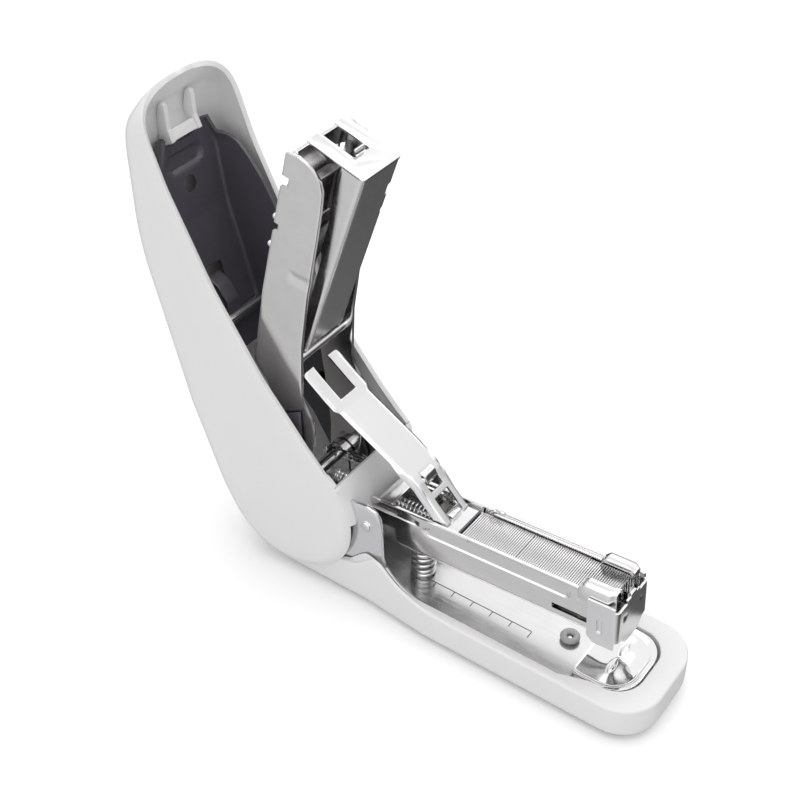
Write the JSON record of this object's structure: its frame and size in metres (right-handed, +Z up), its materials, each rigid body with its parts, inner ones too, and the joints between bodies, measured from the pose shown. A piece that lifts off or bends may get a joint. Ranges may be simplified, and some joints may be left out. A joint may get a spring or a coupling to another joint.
{
  "type": "stapler",
  "caption": "Power-assist flat-clinch desk stapler, opened for loading: white base and handle shells, steel magazine, driver arm, staple presser and pusher link.",
  "frame": {"origin": "on the middle line of the rubber pad under the base, where the stapler rests on the table", "axes": "+X to the nose of the base, +Y to the stapler's left side, +Z up from the table"},
  "size_m": [0.1278, 0.0286, 0.1086],
  "materials": {
    "white_shell": "smooth light grey-white moulded plastic",
    "black_frame": "satin blue-black painted steel",
    "bright_steel": "bright zinc-plated pressed steel",
    "nickel": "nickel plated pressed steel",
    "anvil_chrome": "polished chrome plate",
    "staple_wire": "galvanised staple wire",
    "rubber": "dark grey soft rubber"
  },
  "bodies": {
    "base": {"base_cover": "white_shell", "base_frame": "bright_steel", "anvil": "anvil_chrome", "foot_pad": "rubber", "grommet": "rubber", "grommet_stud": "bright_steel", "pivot_pin": "bright_steel", "pivot_bush_left": "bright_steel", "pivot_bush_right": "bright_steel", "ear_rivet_left": "bright_steel", "ear_rivet_right": "bright_steel", "return_spring": "bright_steel"},
    "magazine": {"magazine": "nickel", "front_cap": "bright_steel", "staple_rail": "bright_steel", "staple_strip_front": "staple_wire", "staple_strip_rear": "staple_wire", "guide_rod": "bright_steel", "pusher_spring": "bright_steel", "bridge_plate": "bright_steel", "spring_stop": "bright_steel"},
    "pusher": {"pusher": "bright_steel"},
    "link": {"link": "bright_steel"},
    "driver_arm": {"driver_arm": "nickel", "driver_blade": "bright_steel", "blade_rivet": "bright_steel", "presser_pin": "bright_steel"},
    "staple_presser": {"staple_presser": "nickel"},
    "handle": {"handle_cover": "white_shell", "handle_frame": "black_frame", "frame_catch": "white_shell", "press_roller": "bright_steel"}
  },
  "joints": [
    {"name": "handle_hinge", "type": "hinge", "parent": "base", "child": "handle", "pos_m": [-0.0455, 0, 0.0205], "axis": [0, 1, 0], "range_deg": [0, 94.3]},
    {"name": "arm_hinge", "type": "hinge", "parent": "base", "child": "driver_arm", "pos_m": [-0.0455, 0, 0.0205], "axis": [0, 1, 0], "range_deg": [0, 76]},
    {"name": "presser_hinge", "type": "hinge", "parent": "driver_arm", "child": "staple_presser", "pos_m": [-0.04446, 0, 0.05695], "axis": [0, 1, 0], "range_deg": [-9.9, 0]},
    {"name": "magazine_press", "type": "hinge", "parent": "base", "child": "magazine", "pos_m": [-0.0455, 0, 0.0205], "axis": [0, 1, 0], "range_deg": [0, 5.5], "stiffness_Nm_per_rad": 0.4, "springref_deg": -8.59, "deforming": ["return_spring"]},
    {"name": "pusher_slide", "type": "slide", "parent": "magazine", "child": "pusher", "axis": [0.9982, 0, 0.0607], "range_m": [-0.0025, 0], "stiffness_N_per_m": 40, "springref_m": 0.012, "deforming": ["pusher_spring"]},
    {"name": "link_hinge", "type": "hinge", "parent": "pusher", "child": "link", "pos_m": [-0.00955, 0, 0.02662], "axis": [0, 1, 0], "range_deg": [-32.6, 0]}
  ],
  "couplings": [
    {"joint": "arm_hinge", "follows": "handle_hinge", "ratio": 0.805},
    {"joint": "presser_hinge", "follows": "handle_hinge", "ratio": -0.104},
    {"joint": "link_hinge", "follows": "handle_hinge", "ratio": -0.345}
  ]
}
